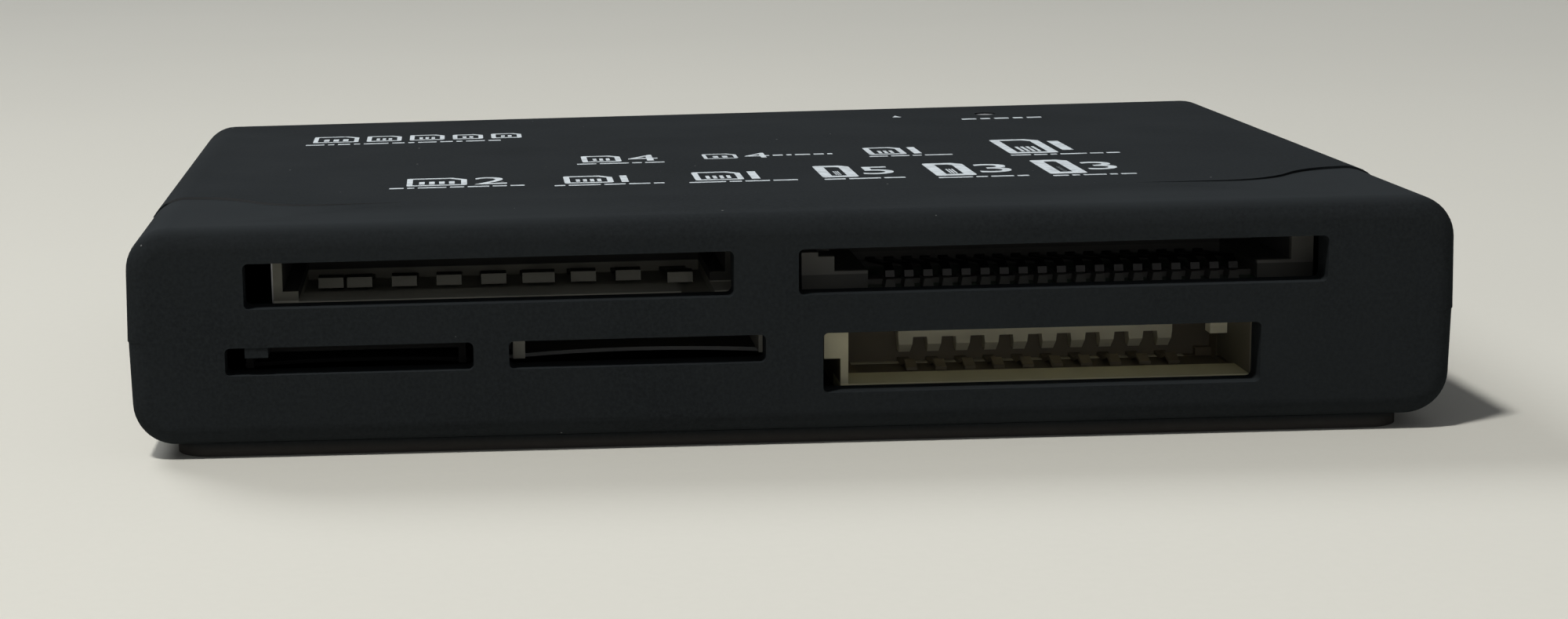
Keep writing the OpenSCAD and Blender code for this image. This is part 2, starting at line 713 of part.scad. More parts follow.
module sd_cover() {
    color([0.6, 0.6, 0.6]) translate([sd_cx, yg, board_top])
        difference() {
            steel_cover(sd_hw + sd_wall, 0.2, sd_guide_d, sd_floor + sd_open_h);
            for (x = [-window_x, window_x]) block(x - window_w / 2, x + window_w / 2, 5, 8,
                sd_floor + sd_open_h - 1, sd_floor + sd_open_h + 1);
        }
}

// The left wall steps down to the right, and the front of both walls is lower than the rest.
module xd_housing() {
    d = xd_guide_d;
    h = cover_z - board_top;
    back = d - anchor;
    color([0.8, 0.79, 0.74]) translate([xd_cx, yx, board_top]) difference() {
        union() {
            block(-xd_hw - xd_block, xd_hw + xd_wall, 1.2, d, 0, 0.3);
            block(-xd_hw - xd_block, -xd_hw - xd_block / 2 + e, 0, d, 0, h - 0.95);
            block(-xd_hw - xd_block / 2, -xd_hw, 0, d, 0, h - 1.2);
            block(-xd_hw - xd_block, -xd_hw, 2, d, 0, h);
            block(xd_hw, xd_hw + xd_wall, 0, d, 0, h);
            for (s = [0, 1]) mirror([s, 0, 0])
                block(xd_hw - xd_ledge_w, xd_hw + e, 0, d, 0, xd_ledge_h);
            block(-xd_hw - e, xd_hw + e, back, d, 0, h);
            // Studs under the tips of the springs, each tapered towards its top.
            for (x = xd_xs) translate([x, 0, 0]) along(0.1, 1.8) polygon([
                [-xd_stud_w / 2, 0], [xd_stud_w / 2, 0], [xd_stud_w * 0.36, xd_stud_h], [-xd_stud_w * 0.36, xd_stud_h]
            ]);
        }
        for (x = xd_xs) block(x - xd_pin_w / 2 - pin_gap, x + xd_pin_w / 2 + pin_gap, back - 1, d + 1,
            0.3, 0.3 + fine_t + pin_gap);
        // Window in the floor under the springs.
        block(-xd_hw + xd_ledge_w, xd_hw - xd_ledge_w, 2.2, back - 0.4, -1, 0.3 + e);
    }
}

module xd_contacts() {
    d = xd_guide_d;
    color([0.55, 0.54, 0.52]) translate([xd_cx, yx, board_top])
        springs(xd_xs, xd_pin_w, [
            [0.35, xd_stud_h + 0.08], [0.42, xd_ledge_h - 0.2], [1.3, xd_ledge_h + 0.05], [2, xd_ledge_h - 0.05],
            [d - anchor - 0.4, 0.3], [d + 0.2, 0.3], [d + 0.55, 0], [d + 1.2, 0]
        ], fine_t);
}

module xd_cover() {
    shift = (xd_wall - xd_block) / 2;
    half = xd_hw + (xd_wall + xd_block) / 2;
    color([0.6, 0.6, 0.6]) translate([xd_cx + shift, yx, board_top])
        difference() {
            steel_cover(half, 1, xd_guide_d, cover_z - board_top);
            for (x = [-window_x, window_x]) block(x - window_w / 2, x + window_w / 2, 4, 6.5,
                cover_z - board_top - 1, cover_z - board_top + 1);
        }
}

// Hangs under the board. Its end wall is a comb of tapered teeth over the springs.
module ms_housing() {
    d = ms_guide_d;
    zc = ms_card_z + ms_open_h;
    stop = d - ms_stop;
    tip_z = ms_card_z + ms_tooth_gap;
    bar_z = tip_z + ms_tooth_h;
    color([0.9, 0.87, 0.74]) translate([ms_cx, yg, 0]) {
        difference() {
            union() {
                block(-ms_hw - ms_wall, ms_hw + ms_wall, 0, d, ms_z, ms_card_z);
                block(-ms_hw - ms_wall, ms_hw + ms_wall, 0, d, zc, board_z);
                block(-ms_hw - ms_wall, -ms_hw, 0, d, ms_z, board_z);
                block(-ms_hw - ms_block, -ms_hw, 0, d, ms_card_z + ms_open_h / 2, board_z);
                block(ms_hw, ms_hw + ms_wall, 0, d, ms_z, board_z);
            }
            // Window in the floor behind the lip, and behind it a shallow well for the springs, open to the rear.
            block(-ms_hw + ms_rail_w, ms_hw - e, ms_lip, stop + ms_tooth_back, ms_z - 1, ms_card_z + e);
            block(-ms_hw + ms_rail_w, ms_hw - ms_rail_w, ms_lip, d + 1, ms_z + 0.15, ms_card_z + e);
            // The right wall starts farther back.
            block(ms_hw - e, ms_hw + 1, -1, stop - 0.5, ms_z + 0.3, zc + 0.3);
        }
        // Key for the cut corner of the card, under the ceiling, and the closed left end of the end wall.
        block(ms_hw - ms_key_w, ms_hw - e, stop - ms_key_y, stop - ms_key_y + 1, ms_card_z + 1.4, zc + e);
        block(-ms_hw - e, -ms_hw + ms_key_w, stop, d, tip_z + ms_tooth_h * 0.8, zc + e);
        difference() {
            union() {
                block(ms_xs[0] - ms_tooth_w / 2, ms_xs[len(ms_xs) - 1] + ms_tooth_w / 2, stop, d, bar_z, zc + e);
                for (x = ms_xs) translate([x, 0, 0]) along(stop, ms_stop) polygon([
                    [-ms_tooth_w / 2, bar_z + e], [-ms_tooth_w * 0.38, tip_z],
                    [ms_tooth_w * 0.38, tip_z], [ms_tooth_w / 2, bar_z + e]
                ]);
            }
            // The lower half of each tooth slants back.
            across(ms_xs[0] - 1, ms_xs[len(ms_xs) - 1] - ms_xs[0] + 2) polygon([
                [stop - 1, tip_z - 1], [stop + ms_tooth_back, tip_z - 1], [stop + ms_tooth_back, tip_z],
                [stop, tip_z + ms_tooth_h * 0.55], [stop - 1, tip_z + ms_tooth_h * 0.55]
            ]);
        }
    }
}

module ms_contacts() {
    d = ms_guide_d;
    z = ms_z + 0.15;
    color([0.62, 0.58, 0.48]) translate([ms_cx, yg, 0])
        springs(ms_xs, ms_pin_w, [
            [d - ms_stop - 2.2, ms_card_z - 0.35], [d - ms_stop - 1.3, ms_card_z - 0.1], [d - ms_stop - 0.2, z],
            [d + 0.6, z], [d + 3.2, board_z - sd_t], [d + 4.2, board_z - sd_t]
        ], sd_t);
}

// A small guide under the board: two side walls, a ceiling with a window for the springs and an end block.
// card_z is the height of its card floor.
module small_housing(half, side, d, card_z, open_h) {
    for (s = [0, 1]) mirror([s, 0, 0]) block(half, half + side, 0, d, card_z, board_z);
    block(-half - e, half + e, 0, 2.4, card_z + open_h, board_z);
    block(-half - e, half + e, d - 1.6, d, card_z, board_z);
}

// Its springs run flat against the board through the end block and bow down into the card's path.
module small_springs(xs, d, card_z, open_h) {
    low = card_z + open_h - 0.1 - fine_t;
    springs(xs, small_pin_w, [
        [2.7, low + 0.12], [3.6, low], [4.1, low + 0.03], [d - 1.9, board_z - fine_t], [d + 1, board_z - fine_t]
    ], fine_t);
}

module small_slots(xs, d) {
    for (x = xs) block(x - small_pin_w / 2 - pin_gap, x + small_pin_w / 2 + pin_gap, d - 2, d + 1,
        board_z - fine_t - pin_gap, board_z + 1);
}

// Steel tray under a small guide, with side skirts up to the board and a bowed front edge.
module small_shell(half, d, card_z, y0, bow) {
    r = even((half * half + bow * bow) / (2 * bow));
    difference() {
        block(-half - cover_t, half + cover_t, y0, d, card_z - cover_t, card_z);
        translate([0, y0 + bow - r, card_z - 1]) cylinder(r = r, h = 2);
    }
    for (s = [0, 1]) mirror([s, 0, 0])
        block(half, half + cover_t, y0 + 1.6, d, card_z - cover_t, board_z);
}

module m2_housing() {
    color([0.9, 0.89, 0.84]) translate([m2_cx, yg, 0]) difference() {
        small_housing(m2_hw, m2_wall, m2_guide_d, m2_card_z, m2_open_h);
        small_slots(m2_xs, m2_guide_d);
    }
}

module m2_contacts() {
    color([0.8, 0.7, 0.4]) translate([m2_cx, yg, 0]) small_springs(m2_xs, m2_guide_d, m2_card_z, m2_open_h);
}

module m2_shell() {
    color([0.62, 0.62, 0.62]) translate([m2_cx, yg, 0])
        small_shell(m2_hw + m2_wall, m2_guide_d, m2_card_z, 1.2, 1.2);
}

module tf_housing() {
    color([0.09, 0.09, 0.09]) translate([tf_cx, yg, 0]) difference() {
        small_housing(tf_hw, tf_wall, tf_guide_d, tf_card_z, tf_open_h);
        small_slots(tf_xs, tf_guide_d);
    }
}

module tf_contacts() {
    color([0.8, 0.7, 0.4]) translate([tf_cx, yg, 0]) small_springs(tf_xs, tf_guide_d, tf_card_z, tf_open_h);
}

module tf_shell() {
    color([0.12, 0.12, 0.12]) translate([tf_cx, yg, 0])
        small_shell(tf_hw + tf_wall, tf_guide_d, tf_card_z, 1.4, 0.8);
}

// Outline of the mini USB inlet, drawn downwards from the board, smaller by t all round.
module usb_outline(t) {
    w = usb_w / 2 - t;
    n = usb_w / 2 - 0.75 - t;
    polygon([
        [-w, -t], [w, -t], [w, -usb_h * 0.55], [n, -usb_h * 0.72], [n, -usb_h + t],
        [-n, -usb_h + t], [-n, -usb_h * 0.72], [-w, -usb_h * 0.55]
    ]);
}

module usb_shell() {
    color([0.72, 0.72, 0.72]) translate([0, 0, board_z]) difference() {
        along(usb_y - usb_l, usb_l) usb_outline(0);
        along(usb_y - usb_l - 1, usb_l + 2) usb_outline(usb_t);
    }
}

usb_pins = [for (i = [-2 : 2]) i * 0.8];
usb_tongue = -usb_h * 0.42;

module usb_insulator() {
    color([0.1, 0.1, 0.1]) translate([0, 0, board_z]) difference() {
        union() {
            along(usb_y - usb_l, 2.6) usb_outline(usb_t);
            block(-2.3, 2.3, usb_y - usb_l + 2.5, usb_y - 1.2, usb_tongue - 0.8, usb_tongue);
        }
        for (x = usb_pins) block(x - 0.17, x + 0.17, usb_y - usb_l - 1, usb_y - 1.6, usb_tongue - 0.15,
            usb_tongue + 0.05);
    }
}

module usb_contacts() {
    y0 = usb_y - usb_l;
    color([0.85, 0.7, 0.35]) translate([0, 0, board_z])
        springs(usb_pins, 0.3, [
            [y0 - 1.6, -fine_t], [y0 - 0.9, -fine_t], [y0 - 0.2, usb_tongue - 0.15],
            [usb_y - 1.7, usb_tongue - 0.15]
        ], fine_t);
}

chip_x = sd_cx + 6;
chip_y = yg + max(sd_guide_d, xd_setback + xd_guide_d) + chip_gap;
lead_l = 1.1;
crystal_x = chip_x + chip_w / 2 + lead_l + crystal_gap;
crystal_x1 = crystal_x + crystal_w + 2 * crystal_rim;

module controller() {
    color([0.07, 0.07, 0.08]) translate([chip_x, chip_y, board_top + 0.1]) difference() {
        block(-chip_w / 2, chip_w / 2, -chip_w / 2, chip_w / 2, 0, chip_h);
        translate([-chip_w / 2 + 1, chip_w / 2 - 1, chip_h - 0.1]) cylinder(d = 0.8, h = 1);
    }
}

// Gull wing leads around the controller, from its sides down to the board.
module controller_leads() {
    c = chip_w / 2;
    m = 0.1 + chip_h / 2;
    color([0.75, 0.75, 0.76]) translate([chip_x, chip_y, board_top])
        for (a = [0 : 90 : 270]) rotate([0, 0, a])
            springs(row(chip_pins, chip_pitch), 0.22, [
                [c, m - 0.06], [c + 0.25, m - 0.06], [c + 0.6, 0], [c + lead_l, 0]
            ], 0.12);
}

module crystal() {
    rim = crystal_rim;
    r = crystal_w * 0.45;
    color([0.78, 0.78, 0.8])
        translate([crystal_x + rim, chip_y - crystal_l / 2, board_top]) {
            linear_extrude(crystal_h) round_rect(crystal_w, crystal_l, r);
            translate([-rim, -rim, 0]) linear_extrude(0.5)
                round_rect(crystal_w + 2 * rim, crystal_l + 2 * rim, r + rim);
        }
}

module regulator() {
    color([0.08, 0.08, 0.08]) translate([-post_x + 5, chip_y + 3, board_top]) {
        m = reg_w / 2;
        block(0, reg_w, 0, reg_l, 0.1, 1.7);
        for (x = [m - 2.25, m, m + 2.25]) block(x - 0.35, x + 0.35, -1, e, 0, 0.3);
        block(m - 1.5, m + 1.5, reg_l - e, reg_l + 1.1, 0, 0.3);
        block(0.6, reg_w - 0.6, 0.3, reg_l - 0.3, 0, 0.1 + e);
    }
}

module chips(n, dx, l, w, h) {
    for (i = [0 : n - 1]) block(i * dx, i * dx + w, 0, l, 0, h);
}

module capacitors() {
    color([0.72, 0.6, 0.42]) {
        translate([chip_x - 2 * part_pitch - part_w / 2, chip_y + chip_w / 2 + 2 * lead_l, board_top])
            chips(5, part_pitch, part_l, part_w, 0.8);
        translate([crystal_x1 + cap_gap, chip_y - 2, board_top]) chips(2, cap_l + 0.8, cap_l, cap_l / 2, 1.6);
    }
}

module resistors() {
    color([0.1, 0.1, 0.11]) {
        translate([chip_x - chip_w / 2 - lead_l - part_gap, chip_y - 3, board_top])
            chips(4, 0.8 * part_pitch, part_l, part_w, 0.5);
        translate([led_x - part_l * 0.75, led_y - 4, board_top]) chips(2, 0.8 * part_pitch, part_l, part_w, 0.5);
    }
}

module led() {
    color([0.9, 0.9, 0.85]) translate([led_x, led_y, board_top])
        block(-0.8, 0.8, -0.4, 0.4, 0, led_h);
}

top_shell();
bottom_shell();
light_pipe();
circuit_board();
led();
sd_housing();
sd_contacts();
sd_cover();
xd_housing();
xd_contacts();
xd_cover();
ms_housing();
ms_contacts();
m2_housing();
m2_contacts();
m2_shell();
tf_housing();
tf_contacts();
tf_shell();
usb_shell();
usb_insulator();
usb_contacts();
controller();
controller_leads();
crystal();
regulator();
capacitors();
resistors();
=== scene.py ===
"""Looks of a USB memory card reader: materials, the print on its top, a pale floor, soft light and the camera."""

import json
import math

import bmesh
import bpy
from mathutils import Matrix, Vector


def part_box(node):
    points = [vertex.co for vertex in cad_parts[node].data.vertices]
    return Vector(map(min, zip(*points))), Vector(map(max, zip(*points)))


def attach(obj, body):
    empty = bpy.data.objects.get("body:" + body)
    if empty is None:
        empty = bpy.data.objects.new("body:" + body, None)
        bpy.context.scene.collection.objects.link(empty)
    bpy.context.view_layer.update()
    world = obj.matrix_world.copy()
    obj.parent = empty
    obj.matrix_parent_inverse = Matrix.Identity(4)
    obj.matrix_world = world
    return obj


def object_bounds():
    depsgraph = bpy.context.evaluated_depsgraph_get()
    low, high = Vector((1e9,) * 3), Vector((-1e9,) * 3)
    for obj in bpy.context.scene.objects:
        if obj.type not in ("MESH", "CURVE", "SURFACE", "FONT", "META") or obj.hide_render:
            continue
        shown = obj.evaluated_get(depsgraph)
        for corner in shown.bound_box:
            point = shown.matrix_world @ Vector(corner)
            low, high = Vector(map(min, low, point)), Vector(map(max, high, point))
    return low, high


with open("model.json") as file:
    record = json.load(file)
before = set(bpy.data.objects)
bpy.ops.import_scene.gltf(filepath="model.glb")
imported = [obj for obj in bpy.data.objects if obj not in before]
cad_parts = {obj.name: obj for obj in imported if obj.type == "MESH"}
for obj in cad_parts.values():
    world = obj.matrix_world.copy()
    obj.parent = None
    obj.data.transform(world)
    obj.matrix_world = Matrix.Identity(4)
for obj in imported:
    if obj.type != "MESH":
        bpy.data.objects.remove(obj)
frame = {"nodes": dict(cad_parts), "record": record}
cad_low, cad_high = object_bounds()
MM = 0.001
TOP = cad_high.z / MM
REAR = cad_high.y / MM


# ---------------------------------------------------------------- materials


class Nodes:
    """A material's node tree, with short calls for the nodes that the materials here share."""

    def __init__(self, name):
        self.material = bpy.data.materials.new(name)
        self.material.use_nodes = True
        self.tree = self.material.node_tree
        self.shader = self.tree.nodes["Principled BSDF"]
        self.place = self.tree.nodes.new("ShaderNodeTexCoord").outputs["Object"]

    def add(self, kind, **settings):
        node = self.tree.nodes.new(kind)
        for key, value in settings.items():
            setattr(node, key, value)
        return node

    def link(self, a, b):
        self.tree.links.new(a, b)

    def noise(self, scale, detail=3.0, roughness=0.5, place=None):
        node = self.add("ShaderNodeTexNoise")
        node.inputs["Scale"].default_value = scale
        node.inputs["Detail"].default_value = detail
        node.inputs["Roughness"].default_value = roughness
        self.link(place or self.place, node.inputs["Vector"])
        return node.outputs["Fac"]

    def stretched(self, x, y, z):
        node = self.add("ShaderNodeMapping")
        node.inputs["Scale"].default_value = (x, y, z)
        self.link(self.place, node.inputs["Vector"])
        return node.outputs["Vector"]

    def split(self, vector):
        node = self.add("ShaderNodeSeparateXYZ")
        self.link(vector, node.inputs["Vector"])
        return node.outputs

    def math(self, operation, a, b):
        node = self.add("ShaderNodeMath", operation=operation)
        for socket, value in zip(node.inputs, (a, b)):
            if isinstance(value, (int, float)):
                socket.default_value = value
            else:
                self.link(value, socket)
        return node.outputs["Value"]

    def spread(self, value, low, high, out_low=0.0, out_high=1.0):
        node = self.add("ShaderNodeMapRange", clamp=True)
        self.link(value, node.inputs["Value"])
        for key, number in (("From Min", low), ("From Max", high), ("To Min", out_low), ("To Max", out_high)):
            node.inputs[key].default_value = number
        return node.outputs["Result"]

    def above(self, value, level, width):
        """1 where the value is past the level by the width or more, 0 where it isn't past it."""
        return self.spread(value, level, level + width)

    def below(self, value, level, width):
        """1 where the value isn't past the level, 0 where it is past it by the width or more."""
        return self.spread(value, level, level + width, 1.0, 0.0)

    def both(self, *masks):
        product = masks[0]
        for mask in masks[1:]:
            product = self.math("MULTIPLY", product, mask)
        return product

    def mix(self, factor, a, b):
        node = self.add("ShaderNodeMix", data_type="RGBA")
        self.link(factor, node.inputs["Factor"])
        for socket, value in ((node.inputs["A"], a), (node.inputs["B"], b)):
            if isinstance(value, tuple):
                socket.default_value = (*value, 1.0)
            else:
                self.link(value, socket)
        return node.outputs["Result"]

    def specks(self, scale, size, share):
        """1 on small round specks: one cell of a Voronoi pattern in so many holds one, of the given size in cells."""
        node = self.add("ShaderNodeTexVoronoi")
        node.inputs["Scale"].default_value = scale
        self.link(self.place, node.inputs["Vector"])
        apart = self.add("ShaderNodeSeparateColor")
        self.link(node.outputs["Color"], apart.inputs["Color"])
        chosen = self.math("LESS_THAN", apart.outputs["Red"], share)
        reach = self.spread(apart.outputs["Green"], 0.0, 1.0, size * 0.4, size)
        near = self.math("SUBTRACT", reach, node.outputs["Distance"])
        inside = self.spread(near, 0.0, size * 0.3)
        return self.math("MULTIPLY", inside, chosen)

    def bump(self, height, strength, distance):
        node = self.add("ShaderNodeBump")
        node.inputs["Strength"].default_value = strength
        node.inputs["Distance"].default_value = distance
        self.link(height, node.inputs["Height"])
        self.link(node.outputs["Normal"], self.shader.inputs["Normal"])

    def finish(self, colour=None, roughness=None, **values):
        if colour is not None:
            self.link(colour, self.shader.inputs["Base Color"])
        if isinstance(roughness, (int, float)):
            self.shader.inputs["Roughness"].default_value = roughness
        elif roughness is not None:
            self.link(roughness, self.shader.inputs["Roughness"])
        for key, value in values.items():
            self.shader.inputs[key.replace("_", " ").title().replace("Ior", "IOR")].default_value = value
        return self.material


def tint(colour, factor):
    return tuple(min(1.0, c * factor) for c in colour)


CHARCOAL = (0.0165, 0.0190, 0.0207)
MOTE = (0.24, 0.25, 0.25)
# Tone of the step's low wall at the left: painted light, with dust on it.
STEP_LIGHT_AND_DUST = (0.076, 0.079, 0.082)
# Tone of the foot plate's lower edge: painted light from the table.
FOOT_TABLE_LIGHT = (0.055, 0.051, 0.048)


def soft_touch(name, colour, dust, painted_light_and_dust):
    """Charcoal moulded plastic with a soft-touch coat: fine grain, faint cloudy tone, pale dust and painted light in
    places.
    """
    n = Nodes(name)
    cloud = n.spread(n.noise(90.0, 4.0), 0.35, 0.65)
    body = n.mix(cloud, tint(colour, 0.88), tint(colour, 1.12))
    grain = n.noise(5200.0, 2.0, 0.6)
    body = n.mix(n.spread(grain, 0.3, 0.75), body, tint(colour, 1.3))
    # Paler places: painted light, with dust on the top's step.
    for mask, tone in painted_light_and_dust(n):
        body = n.mix(mask, body, tone)
    motes = n.math("MAXIMUM", n.specks(330.0, 0.05, dust), n.specks(900.0, 0.07, dust))
    body = n.mix(n.both(motes, 0.8), body, MOTE)
    n.bump(grain, 0.3, 0.00002)
    rough = n.spread(n.noise(160.0, 3.0), 0.3, 0.7, 0.9, 1.0)
    return n.finish(body, rough, specular_ior_level=0.016)


# Places on the case where painted light changes its tone, in metres.
STEP_BASE, BAND_TOP, BEHIND_STEP = 0.0123, 0.0126, -0.0125
STEP_TONE_END, STEP_TONE_FADE = -0.014, 0.008
BAND_MIDDLE, BAND_FADE = 0.002, 0.016
FOOT_LIGHT_TOP, FOOT_LIGHT_FADE = 0.0002, 0.0005


def top_painted_light_and_dust(n):
    """Painted light on the top: a painted sheen on the band in front of the step, and painted light with dust on the
    step's low wall at the left.
    """
    x, y, z = n.split(n.place)
    upward = n.split(n.add("ShaderNodeNewGeometry").outputs["True Normal"])[2]
    # The step's low wall at the left: painted light, with dust on it.
    step = n.both(n.below(upward, 0.5, 0.3), n.below(x, STEP_TONE_END, STEP_TONE_FADE), n.above(z, STEP_BASE, 0.0001))
    # The band in front of the step: painted sheen.
    band = n.both(
        n.above(upward, 0.6, 0.35),
        n.below(z, BAND_TOP, 0.00006),
        n.below(y, BEHIND_STEP, 0.001),
        n.above(n.math("ABSOLUTE", x, 0.0), BAND_MIDDLE, BAND_FADE),
    )
    return (band, tint(CHARCOAL, 1.42)), (step, STEP_LIGHT_AND_DUST)


def foot_table_light(n):
    """A painted light along the lower edge of the foot plate, where it stands on the table and the table's light falls
    on it.
    """
    height = n.split(n.place)[2]
    return ((n.below(height, FOOT_LIGHT_TOP, FOOT_LIGHT_FADE), FOOT_TABLE_LIGHT),)


FLOW = (1.0, 0.35, 1.6)
KEY_REAR, KEY_BASE = -0.0166, 0.0042


def moulded(name, colour, roughness=0.48, specular=0.5):
    """Plain moulded plastic of a card guide, with slow flow marks, a fine texture and a little grime."""
    n = Nodes(name)
    slow = n.noise(140.0, 3.0, 0.55, n.stretched(*FLOW))
    body = n.mix(n.spread(slow, 0.3, 0.7), tint(colour, 0.8), tint(colour, 1.08))
    grime = n.specks(1500.0, 0.09, 0.05)
    body = n.mix(n.both(grime, 0.5), body, tint(colour, 0.45))
    n.bump(n.noise(3800.0, 2.0), 0.2, 0.00001)
    rough = n.spread(slow, 0.3, 0.7, roughness - 0.05, roughness + 0.07)
    return n.finish(body, rough, specular_ior_level=specular)


def guide(name, mouth, floor, deep_shade, level, lip, front=-0.0222, comb=None):
    """Card guide plastic in painted light and shade: a tone at the mouth, one on the floor's lip, painted shade
    behind.

    The mouth ends at the depth front, and the lip lies below level and in front of the depth lip, all in metres.
    comb is the depth that a comb starts at, the x that it ends at, and its tone of painted light, which the key before
    it has too.
    """
    n = Nodes(name)
    x, y, z = n.split(n.place)
    # Parts behind the mouth: painted shade.
    behind = n.above(y, front, 0.0003)
    body = n.mix(behind, mouth, deep_shade)
    if comb:
        # Comb and the key before it: painted light.
        comb_front, comb_end, comb_light_tone = comb
        bar = n.both(n.above(y, comb_front, 0.0001), n.below(x, comb_end, 0.0001))
        key = n.both(n.below(y, KEY_REAR, 0.0002), behind, n.above(z, KEY_BASE, 0.0001))
        body = n.mix(n.math("MAXIMUM", bar, key), body, comb_light_tone)
    # Floor's lip: its own tone, painted light and shade.
    ledge = n.both(n.below(z, level, 0.00005), n.below(y, lip, 0.0002))
    body = n.mix(ledge, body, floor)
    slow = n.spread(n.noise(140.0, 3.0, 0.55, n.stretched(*FLOW)), 0.3, 0.7)
    body = n.mix(n.both(slow, 0.3), body, tint(deep_shade, 0.8))
    grime = n.specks(1500.0, 0.09, 0.05)
    body = n.mix(n.both(grime, 0.5), body, tint(deep_shade, 0.6))
    n.bump(n.noise(3800.0, 2.0), 0.2, 0.00001)
    return n.finish(body, n.spread(slow, 0.0, 1.0, 0.55, 0.68), specular_ior_level=0.3)


def metal(name, colour, roughness):
    """Rolled or plated metal: streaks along one way, and darker spots of tarnish."""
    n = Nodes(name)
    streak = n.noise(2600.0, 3.0, 0.6, n.stretched(0.15, 1.0, 1.0))
    body = n.mix(n.spread(streak, 0.25, 0.75), tint(colour, 0.82), tint(colour, 1.08))
    tarnish = n.spread(n.noise(700.0, 4.0, 0.6), 0.58, 0.75)
    body = n.mix(n.both(tarnish, 0.5), body, tint(colour, 0.5))
    n.bump(streak, 0.15, 0.000006)
    rough = n.spread(streak, 0.25, 0.75, roughness - 0.06, roughness + 0.08)
    return n.finish(body, rough, metallic=1.0)


def solder_mask(name):
    """Green board with faint tracks under its coat."""
    n = Nodes(name)
    brick = n.add("ShaderNodeTexBrick", offset=0.5)
    n.link(n.place, brick.inputs["Vector"])
    brick.inputs["Scale"].default_value = 320.0
    brick.inputs["Mortar Size"].default_value = 0.06
    track = brick.outputs["Fac"]
    body = n.mix(track, (0.012, 0.07, 0.03), (0.03, 0.13, 0.055))
    body = n.mix(n.spread(n.noise(240.0, 3.0), 0.35, 0.7, 0.0, 0.4), body, (0.008, 0.05, 0.022))
    n.bump(track, 0.25, 0.00002)
    return n.finish(body, 0.3, coat_weight=0.4, coat_roughness=0.2)


def ink(name, colour):
    """White screen print, thin in places."""
    n = Nodes(name)
    thin = n.spread(n.noise(1400.0, 4.0, 0.6), 0.42, 0.72)
    body = n.mix(thin, colour, tint(colour, 0.62))
    n.bump(n.noise(3000.0, 2.0), 0.2, 0.000005)
    return n.finish(body, n.spread(thin, 0.0, 1.0, 0.5, 0.62))


def smoked(name):
    """Small smoked window, polished, with faint swirls."""
    n = Nodes(name)
    swirl = n.noise(1800.0, 3.0)
    body = n.mix(n.spread(swirl, 0.3, 0.7), (0.004, 0.004, 0.005), (0.012, 0.01, 0.01))
    n.bump(swirl, 0.05, 0.000004)
    return n.finish(body, n.spread(swirl, 0.3, 0.7, 0.12, 0.22), coat_weight=0.6, coat_roughness=0.08)


def tabletop(name, colour):
    """Plain pale surface, a little uneven in tone."""
    n = Nodes(name)
    slow = n.spread(n.noise(9.0, 3.0), 0.3, 0.7)
    body = n.mix(slow, tint(colour, 0.985), tint(colour, 1.015))
    fine = n.noise(1600.0, 2.0)
    body = n.mix(n.spread(fine, 0.3, 0.7, 0.0, 0.25), body, tint(colour, 0.96))
    return n.finish(body, 0.95, specular_ior_level=0.05)


SLOT_MATERIALS = {
    "case_top": soft_touch("soft_touch_top", CHARCOAL, 0.1, top_painted_light_and_dust),
    "case_bottom": soft_touch("soft_touch_bottom", tint(CHARCOAL, 0.97), 0.04, foot_table_light),
    "window": smoked("smoked_window"),
    "board": solder_mask("solder_mask"),
    "led_body": moulded("lamp_resin", (0.72, 0.7, 0.6), 0.2),
    # Each guide below is one plastic in lit and shaded copies: painted light and painted shade.
    "ivory_guide": guide(
        "ivory_plastic", (0.15, 0.148, 0.12), (0.47, 0.46, 0.39), (0.032, 0.031, 0.026), 0.00826, 0.0,
    ),
    "cream_guide": guide(
        "cream_plastic", (0.62, 0.59, 0.42), (0.86, 0.82, 0.56), (0.2, 0.165, 0.11), 0.00292, -0.0195,
        comb=(-0.0155, 0.0234, (0.88, 0.85, 0.68)),
    ),
    "grey_guide": guide(
        "stone_plastic", (0.36, 0.35, 0.32), (0.15, 0.147, 0.135), (0.09, 0.088, 0.08), 0.0082, 0.0, front=-0.018,
    ),
    # The white block's colour is darkened to the shade inside its slot: painted shade.
    "white_guide": moulded("white_plastic_shaded", (0.23, 0.225, 0.195), 0.6),
    "black_tray": moulded("black_sheet", (0.004, 0.004, 0.004), 0.75, specular=0.15),
    "black_guide": moulded("black_plastic", (0.004, 0.004, 0.004), 0.75, specular=0.15),
    "plated_spring": metal("tin_plate", (0.11, 0.107, 0.09), 0.48),
    "dark_spring": metal("dull_plate", (0.05, 0.048, 0.046), 0.5),
    "gilt_spring": metal("gold_flash", (0.66, 0.5, 0.24), 0.3),
    "cover_steel": metal("stamped_steel", (0.34, 0.34, 0.34), 0.4),
    "tray_steel": metal("tray_steel", (0.1, 0.1, 0.097), 0.5),
    "inlet_steel": metal("nickel_plate", (0.58, 0.57, 0.55), 0.26),
    "tinned_lead": metal("tinned_lead", (0.6, 0.6, 0.6), 0.35),
    "crystal_can": metal("bright_can", (0.68, 0.68, 0.67), 0.2),
    "chip_body": moulded("chip_resin", (0.014, 0.014, 0.015), 0.5),
    "capacitor_body": moulded("ceramic", (0.34, 0.22, 0.11), 0.45),
}
PRINT = ink("white_ink", (0.6, 0.66, 0.7))
PALE_SPRING = metal("pale_plate", (0.34, 0.3, 0.225), 0.6)

for part in frame["record"]["subparts"]:
    shown = frame["nodes"][part["node"]]
    shown.data.materials.clear()
    shown.data.materials.append(SLOT_MATERIALS[part["material_slot"]])
frame["nodes"]["ms_contacts"].data.materials[0] = PALE_SPRING


# ---------------------------------------------------------------- walls of the lower right guide


